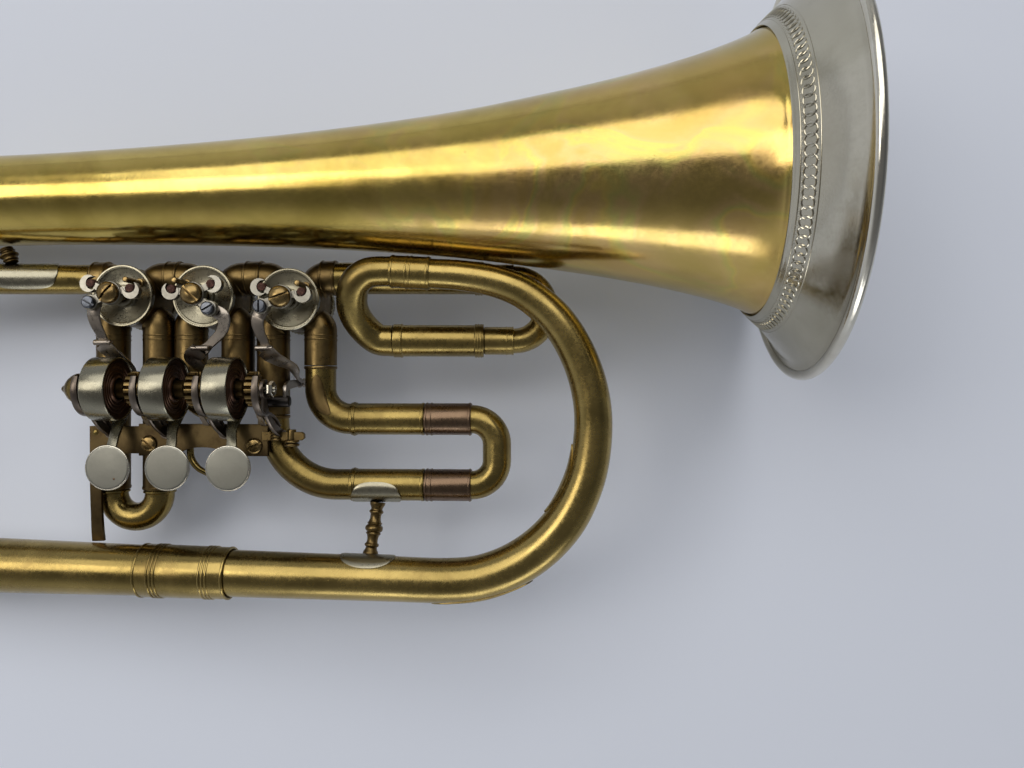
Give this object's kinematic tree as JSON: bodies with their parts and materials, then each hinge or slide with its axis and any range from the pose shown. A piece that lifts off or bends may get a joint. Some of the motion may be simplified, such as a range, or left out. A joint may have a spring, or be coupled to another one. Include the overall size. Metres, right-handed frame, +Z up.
{
  "type": "trumpet",
  "caption": "Rotary-valve trumpet with a wide conical bell, clock-spring levers, sliding tuning bows and a removable mouthpiece, lying on its bell rim and back bow.",
  "frame": {"origin": "centre of the bounding box on the ground that the instrument lies on", "axes": "+X from the mouthpiece to the bell, +Y across from the lead pipe side to the bell side, +Z up out of the levers and the fronts of the valves"},
  "size_m": [0.4822, 0.2258, 0.1457],
  "materials": {
    "bell_brass": "lacquered, golden, lightly tarnished",
    "tube_brass": "bare, olive-brown patina",
    "rotor_brass": "machined",
    "nickel_silver": "satin nickel silver, polished edges",
    "silver_plate": "polished silver plate",
    "steel": "blued"
  },
  "bodies": {
    "root": {"back_bow": "tube_brass", "base_rail": "tube_brass", "bell": "bell_brass", "bell_ferrule": "nickel_silver", "bell_garland": "nickel_silver", "bottom_tube": "tube_brass", "bow_brace": "tube_brass", "bow_guard": "tube_brass", "bow_sleeve": "tube_brass", "connector_12": "tube_brass", "connector_23": "tube_brass", "finger_hook": "tube_brass", "front_bow": "tube_brass", "front_plate_1": "nickel_silver", "front_plate_2": "nickel_silver", "front_plate_3": "nickel_silver", "leadpipe": "tube_brass", "leadpipe_brace": "tube_brass", "lever_axle": "steel", "lever_spring_1": "steel", "lever_spring_2": "steel", "lever_spring_3": "steel", "loop_bow": "tube_brass", "loop_ferrule": "tube_brass", "rail_strap": "tube_brass", "ratchet_1": "tube_brass", "ratchet_2": "tube_brass", "ratchet_3": "tube_brass", "rear_cap_1": "nickel_silver", "rear_cap_2": "nickel_silver", "rear_cap_3": "nickel_silver", "receiver": "nickel_silver", "rim_wire": "nickel_silver", "slide_3_leg_lower": "tube_brass", "slide_3_leg_upper": "tube_brass", "tuning_leg_lower": "tube_brass", "tuning_leg_upper": "tube_brass", "valve_casing_1": "tube_brass", "valve_casing_2": "tube_brass", "valve_casing_3": "tube_brass"},
    "lever_1": {"lever_1": "nickel_silver"},
    "rotor_1": {"rotor_1": "rotor_brass", "stop_arm_1": "nickel_silver"},
    "link_upper_1": {"link_upper_1": "nickel_silver"},
    "link_lower_1": {"link_lower_1": "nickel_silver"},
    "lever_2": {"lever_2": "nickel_silver"},
    "rotor_2": {"rotor_2": "rotor_brass", "stop_arm_2": "nickel_silver"},
    "link_upper_2": {"link_upper_2": "nickel_silver"},
    "link_lower_2": {"link_lower_2": "nickel_silver"},
    "lever_3": {"lever_3": "nickel_silver"},
    "rotor_3": {"rotor_3": "rotor_brass", "stop_arm_3": "nickel_silver"},
    "link_upper_3": {"link_upper_3": "nickel_silver"},
    "link_lower_3": {"link_lower_3": "nickel_silver"},
    "tuning_slide": {"tuning_slide": "tube_brass"},
    "slide_1": {"slide_1": "tube_brass"},
    "slide_2": {"slide_2": "tube_brass"},
    "slide_3": {"slide_3": "tube_brass"},
    "mouthpiece": {"mouthpiece": "silver_plate"}
  },
  "joints": [
    {"name": "lever_1_press", "type": "hinge", "parent": "root", "child": "lever_1", "pos_m": [-0.01999, -0.03236, 0.04355], "axis": [0.9887, -0.0227, 0.1479], "range_deg": [0, 18], "stiffness_Nm_per_rad": 0.05, "springref_deg": -34.38},
    {"name": "rotor_1_turn", "type": "hinge", "parent": "root", "child": "rotor_1", "pos_m": [-0.01585, 0.00275, 0.02599], "axis": [-0.1485, -0.029, 0.9885], "range_deg": [-90, 0]},
    {"name": "link_upper_1_swing", "type": "hinge", "parent": "rotor_1", "child": "link_upper_1", "pos_m": [-0.02538, -0.00089, 0.04073], "axis": [-0.1485, -0.029, 0.9885], "range_deg": [0, 81.5]},
    {"name": "link_lower_1_swing", "type": "hinge", "parent": "lever_1", "child": "link_lower_1", "pos_m": [-0.01454, -0.02932, 0.01775], "axis": [0.9887, -0.0227, 0.1479], "range_deg": [-25.1, 0]},
    {"name": "lever_2_press", "type": "hinge", "parent": "root", "child": "lever_2", "pos_m": [0.00092, -0.03284, 0.04668], "axis": [0.9887, -0.0227, 0.1479], "range_deg": [0, 18], "stiffness_Nm_per_rad": 0.05, "springref_deg": -34.38},
    {"name": "rotor_2_turn", "type": "hinge", "parent": "root", "child": "rotor_2", "pos_m": [0.0143, 0.00166, 0.03048], "axis": [-0.1485, -0.029, 0.9885], "range_deg": [0, 90]},
    {"name": "link_upper_2_swing", "type": "hinge", "parent": "rotor_2", "child": "link_upper_2", "pos_m": [0.01762, -0.00422, 0.0471], "axis": [-0.1485, -0.029, 0.9885], "range_deg": [-94, 0]},
    {"name": "link_lower_2_swing", "type": "hinge", "parent": "lever_2", "child": "link_lower_2", "pos_m": [0.01571, -0.03001, 0.02228], "axis": [0.9887, -0.0227, 0.1479], "range_deg": [-25.1, 0]},
    {"name": "lever_3_press", "type": "hinge", "parent": "root", "child": "lever_3", "pos_m": [0.02278, -0.03334, 0.04995], "axis": [0.9887, -0.0227, 0.1479], "range_deg": [0, 18], "stiffness_Nm_per_rad": 0.05, "springref_deg": -34.38},
    {"name": "rotor_3_turn", "type": "hinge", "parent": "root", "child": "rotor_3", "pos_m": [0.04582, -0.00026, 0.03516], "axis": [-0.1485, -0.029, 0.9885], "range_deg": [-90, 0]},
    {"name": "link_upper_3_swing", "type": "hinge", "parent": "rotor_3", "child": "link_upper_3", "pos_m": [0.03629, -0.0039, 0.04991], "axis": [-0.1485, -0.029, 0.9885], "range_deg": [0, 81.5]},
    {"name": "link_lower_3_swing", "type": "hinge", "parent": "lever_3", "child": "link_lower_3", "pos_m": [0.04676, -0.03073, 0.02692], "axis": [0.9887, -0.0227, 0.1479], "range_deg": [-25.1, 0]},
    {"name": "tuning_slide_pull", "type": "slide", "parent": "root", "child": "tuning_slide", "axis": [0.995, -0.0212, 0.0977], "range_m": [0, 0.006]},
    {"name": "slide_1_pull", "type": "slide", "parent": "root", "child": "slide_1", "axis": [-0.0181, -0.9993, -0.0321], "range_m": [0, 0.004]},
    {"name": "slide_2_pull", "type": "slide", "parent": "root", "child": "slide_2", "axis": [-0.0181, -0.9993, -0.0321], "range_m": [0, 0.008]},
    {"name": "slide_3_pull", "type": "slide", "parent": "root", "child": "slide_3", "axis": [0.9887, -0.0227, 0.1479], "range_m": [0, 0.015]},
    {"name": "mouthpiece_pull", "type": "slide", "parent": "root", "child": "mouthpiece", "axis": [-0.9917, -0.0164, 0.1276], "range_m": [0, 0.02]}
  ],
  "couplings": [
    {"joint": "rotor_1_turn", "follows": "lever_1_press", "ratio": -5},
    {"joint": "link_upper_1_swing", "follows": "lever_1_press", "ratio": 4.52},
    {"joint": "link_lower_1_swing", "follows": "lever_1_press", "ratio": -1.39},
    {"joint": "rotor_2_turn", "follows": "lever_2_press", "ratio": 5},
    {"joint": "link_upper_2_swing", "follows": "lever_2_press", "ratio": -5.22},
    {"joint": "link_lower_2_swing", "follows": "lever_2_press", "ratio": -1.39},
    {"joint": "rotor_3_turn", "follows": "lever_3_press", "ratio": -5},
    {"joint": "link_upper_3_swing", "follows": "lever_3_press", "ratio": 4.52},
    {"joint": "link_lower_3_swing", "follows": "lever_3_press", "ratio": -1.39}
  ]
}
